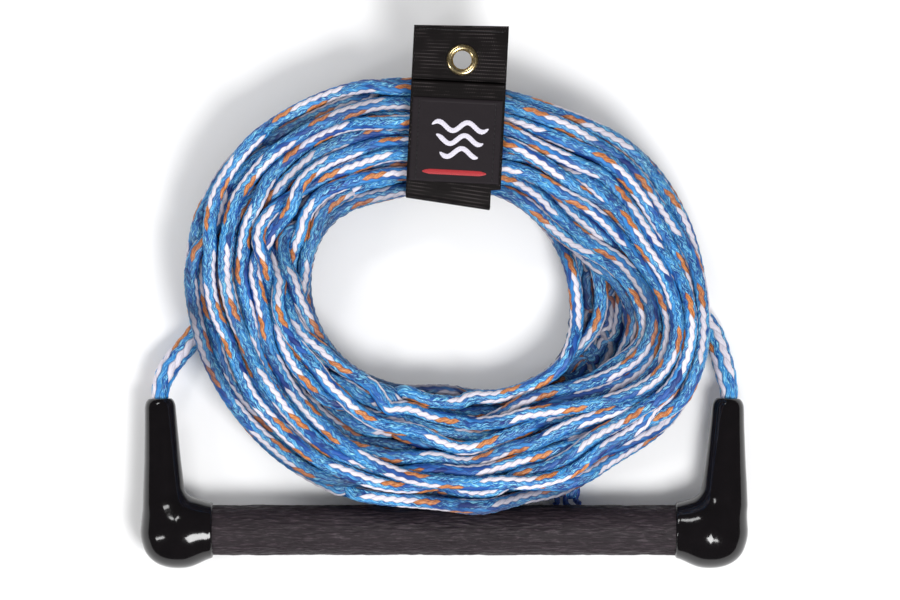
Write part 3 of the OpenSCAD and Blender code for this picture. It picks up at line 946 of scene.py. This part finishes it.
def ribbon(name, curve, width, z, material, height=0.35):
    """Raised embroidery along a curve on the label: a low rounded band."""
    curve = np.array(curve, dtype=float)
    tangent = np.gradient(curve, axis=0)
    tangent /= np.linalg.norm(tangent, axis=1)[:, None]
    side = np.stack([-tangent[:, 1], tangent[:, 0]], axis=1)
    n = len(curve)
    taper = np.sqrt(np.clip(np.minimum(np.arange(n), np.arange(n)[::-1]) / (0.12 * n), 0.03, 1))
    profile = np.linspace(-1, 1, 9)
    verts = []
    for i in range(n):
        serration = 1 + 0.08 * math.sin(i * 2.1)
        for t in profile:
            spot = curve[i] + side[i] * t * width / 2 * taper[i] * serration
            verts.append((spot[0], spot[1], z + height * math.sqrt(max(1 - t * t, 0)) * taper[i] - 0.05))
    obj = make_mesh(name, keeper_place(np.array(verts)), grid_faces(n, len(profile), False))
    obj.data.materials.append(material)
    return obj


def build_keeper(webbing, label_cloth, black_thread, white_thread, red_thread):
    strap_low, strap_high = node_box("keeper_strap")
    flap_low, flap_high = node_box("keeper_flap")
    tab_low, tab_high = node_box("hang_tab")
    t = 1.6
    flap_mid = flap_high[2] - t / 2
    back_z = strap_low[2] + t / 2
    inner_y, outer_y = 178.2, 247.6
    return_z, step_z = 35.9, 37.3

    strap = webbing_strip("strap_webbing", [(inner_y, 24), (inner_y, back_z), (outer_y, back_z),
                                            (outer_y, step_z), (242.6, step_z), (239.5, return_z),
                                            (227, return_z)], 7, t, ripple=0.3,
                          skew=0.09, waist=(183.5, 5.0))
    strap.data.materials.append(webbing)
    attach(strap, "coil")
    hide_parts("keeper_strap")

    hinge = hinge_at("flap_open")
    flap = webbing_strip("flap_webbing", [(inner_y - 0.2, 22), (inner_y - 2.2, flap_mid - 1.2),
                                          (189, flap_mid), (241.3, flap_mid)], 6, t, ripple=0.0,
                         skew=0.09, waist=(184.6, 5.2))
    flap.data.materials.append(webbing)
    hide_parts("keeper_flap")
    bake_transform(flap)

    eyelet = node_box("grommet_eyelet")
    eye_centre = (eyelet[0] + eyelet[1]) / 2
    tab_mid = (tab_low[2] + tab_high[2]) / 2
    tab = webbing_strip("tab_webbing", [(242.6, tab_mid), (271.6, tab_mid)], 2, 3.0, ripple=0.2,
                        hole=(1.3, 253.2, 5.9), end_skew=0.035)
    tab.data.materials.append(webbing)
    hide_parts("hang_tab")
    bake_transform(tab)

    label_z = flap_high[2]
    label = webbing_strip("satin_label", [(187.5, label_z + 0.2), (232.5, label_z + 0.2)], 1, 0.8, 48.2,
                          ripple=0.0)
    label.data.materials.append(label_cloth)
    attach(label, "flap")
    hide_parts("woven_label")

    top = label_z + 0.6
    side_x = 47.0 / 2 - 3
    rows = [stitch_line("label_stitch_left", (-side_x, 188.5), (-side_x, 231.5), 17, top, black_thread),
            stitch_line("label_stitch_right", (side_x, 188.5), (side_x, 231.5), 17, top, black_thread)]
    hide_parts("label_stitching")
    hem = ribbon("label_hem", [(x, 231.0) for x in np.linspace(-22.5, 22.5, 60)], 2.4, top - 0.05,
                 label_cloth, 0.3)
    waves = []
    for i, (level, size) in enumerate(((217.5, 15.5), (210.5, 13.0), (203.5, 10.5))):
        xs = np.linspace(-size, size, 90)
        curve = [(x + 2.0, level + 2.3 * math.sin(x * 0.40 + i * 0.5)) for x in xs]
        waves.append(ribbon(f"label_wave_{i + 1}", curve, 2.9, top - 0.05, white_thread))
    bar = ribbon("label_bar", [(x, 192.8) for x in np.linspace(-17.5, 17.5, 90)], 3.0, top - 0.05, red_thread)
    for piece in rows + [hem] + waves + [bar]:
        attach(piece, "flap")

    z = tab_high[2]
    edge = WEBBING_W / 2 - 2.5
    hem_row = stitch_line("tab_stitches", (-edge, 269.0), (edge, 269.0), 24, z - 0.05, black_thread)
    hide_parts("tab_stitching")
    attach(hem_row, "tab")


# ---------------------------------------------------------------- parts kept from the CAD

def dress(node, material):
    """Gives a CAD node its finished material."""
    obj = frame["nodes"][node]
    for slot in obj.material_slots:
        slot.material = material


def melted_material():
    """Rope ends melted with a hot knife: dark, glossy, lumpy blue."""
    sh = Shader("melted_ends")
    lump = sh.noise(sh.place(), 420.0, 4.0, 0.7, 1.0)
    sh.plug("Base Color", sh.mix(lump.smooth(0.35, 0.65), (0.004, 0.014, 0.12), (0.02, 0.09, 0.42)))
    sh.plug("Roughness", lump.smooth(0.3, 0.7, 0.22, 0.45))
    sh.bump(lump, 0.5, 1.0)
    return sh.material


def build_small_rope(material, melted):
    """The tow loop with its splice, and the melted ends of its strands."""
    low, high = node_box("tow_loop")
    z = (low[2] + high[2]) / 2
    centre, radius = np.array([38.0, 48.0]), 18.0
    angles = np.radians(np.linspace(-8, -368 + 50, 26))
    neck = np.array([65.0, 32.0])
    ring = [(centre[0] + radius * math.cos(a), centre[1] + radius * math.sin(a), z) for a in angles]
    points = [(86, 36, z), (76, 33, z), (*neck, z)] + ring + [(neck[0] - 4, neck[1] - 1, z - 0.3),
                                                              (70, 25.5, z), (67.5, 16.5, z + 0.5)]
    loop = rope_mesh("tow_loop_rope", np.array(points, dtype=float), 3.9, 6.4, 1.25, 24)
    loop.data.materials.append(material)
    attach(loop, "coil")
    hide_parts("tow_loop", "splice_tail")
    low_z = z + 0.6
    ends = {"melted_end_1": ((62, 26), (60.5, 20), (61.5, 15.0), (59.5, 12.6)),
            "melted_end_2": ((66, 27), (66.5, 20), (66.0, 14.5), (68.5, 11.8)),
            "melted_end_3": ((70, 28), (72.5, 21), (71.5, 16.0), (74.5, 13.4))}
    for name, plan in ends.items():
        points = np.array([(x, y, low_z) for x, y in plan])
        tail = rope_mesh(name, points, 1.7, 3.0, 0.5, 14)
        tail.data.materials.append(melted)
        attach(tail, "coil")


# ---------------------------------------------------------------- assemble

rope_cloth = braid_material()
build_mainline(rope_cloth)
build_legs(rope_cloth)
build_small_rope(rope_cloth, melted_material())
vinyl = vinyl_material()
build_cap(-1, "left", vinyl)
build_cap(1, "right", vinyl)
build_grip(grip_material())
black_thread = thread_material("black_thread", (0.004, 0.004, 0.005), (0.02, 0.02, 0.022))
white_thread = thread_material("white_thread", (0.55, 0.52, 0.62), (0.80, 0.77, 0.86))
red_thread = thread_material("red_thread", (0.30, 0.008, 0.012), (0.50, 0.02, 0.028))
build_keeper(webbing_material("black_webbing"), label_material(), black_thread, white_thread, red_thread)

dress("handle_tube", aluminium_material())
brass = brass_material()
dress("grommet_eyelet", brass)
dress("grommet_washer", brass)
foam = foam_material()
dress("float_plug_left", foam)
dress("float_plug_right", foam)
dress("hook_pad", pile_material("hook_tape", 2200.0))
dress("loop_pad", pile_material("loop_tape", 1500.0))
dress("bridle_whipping", thread_material("whipping_twine", (0.004, 0.004, 0.004), (0.03, 0.03, 0.03)))


# ---------------------------------------------------------------- floor, light, camera

ROOM_LIGHT = 0.54
KEY_LIGHT = 15.8


def build_stage():
    size = 6.0
    mesh = bpy.data.meshes.new("floor")
    z = FLOOR_Z * MM - 0.0002
    mesh.from_pydata([(-size, -size, z), (size, -size, z), (size, size, z), (-size, size, z)], [],
                     [(0, 1, 2, 3)])
    floor = bpy.data.objects.new("floor", mesh)
    bpy.context.scene.collection.objects.link(floor)
    sh = Shader("pale_floor")
    sh.plug("Base Color", (0.96, 0.96, 0.965))
    sh.plug("Roughness", 0.9)
    mesh.materials.append(sh.material)


def area_light(name, place, size, power, target=(0, 0.12, 0)):
    light = bpy.data.lights.new(name, "AREA")
    light.shape = "RECTANGLE"
    light.size, light.size_y = size
    light.energy = power
    obj = bpy.data.objects.new(name, light)
    obj.location = place
    obj.rotation_euler = (Vector(target) - Vector(place)).to_track_quat("-Z", "Y").to_euler()
    bpy.context.scene.collection.objects.link(obj)


def build_light():
    """A pale room that shines on matt surfaces but shows only faintly in glossy ones, and
    three soft boxes."""
    world = bpy.data.worlds.new("studio")
    world.use_nodes = True
    tree = world.node_tree
    background = tree.nodes["Background"]
    path = tree.nodes.new("ShaderNodeLightPath")
    strength = tree.nodes.new("ShaderNodeMapRange")
    strength.inputs["To Min"].default_value = ROOM_LIGHT
    strength.inputs["To Max"].default_value = ROOM_LIGHT * 0.1
    tree.links.new(path.outputs["Is Glossy Ray"], strength.inputs["Value"])
    tree.links.new(strength.outputs["Result"], background.inputs["Strength"])
    background.inputs["Color"].default_value = (1, 1, 1, 1)
    bpy.context.scene.world = world
    area_light("key", (0.42, -0.5, 1.25), (0.5, 0.5), KEY_LIGHT)
    area_light("top", (-0.5, 0.95, 1.1), (0.5, 0.2), KEY_LIGHT * 0.22)
    area_light("side", (-1.1, -0.3, 0.8), (0.15, 0.5), KEY_LIGHT * 0.2)


def build_camera():
    camera = bpy.data.cameras.new("camera")
    camera.lens = 250
    camera.sensor_width = 36
    obj = bpy.data.objects.new("camera", camera)
    obj.location = (0.0032, 0.1246, 3.386)
    obj.rotation_euler = (0, 0, 0)
    bpy.context.scene.collection.objects.link(obj)
    bpy.context.scene.camera = obj


build_stage()
build_light()
build_camera()
bpy.context.scene.view_settings.view_transform = "Standard"
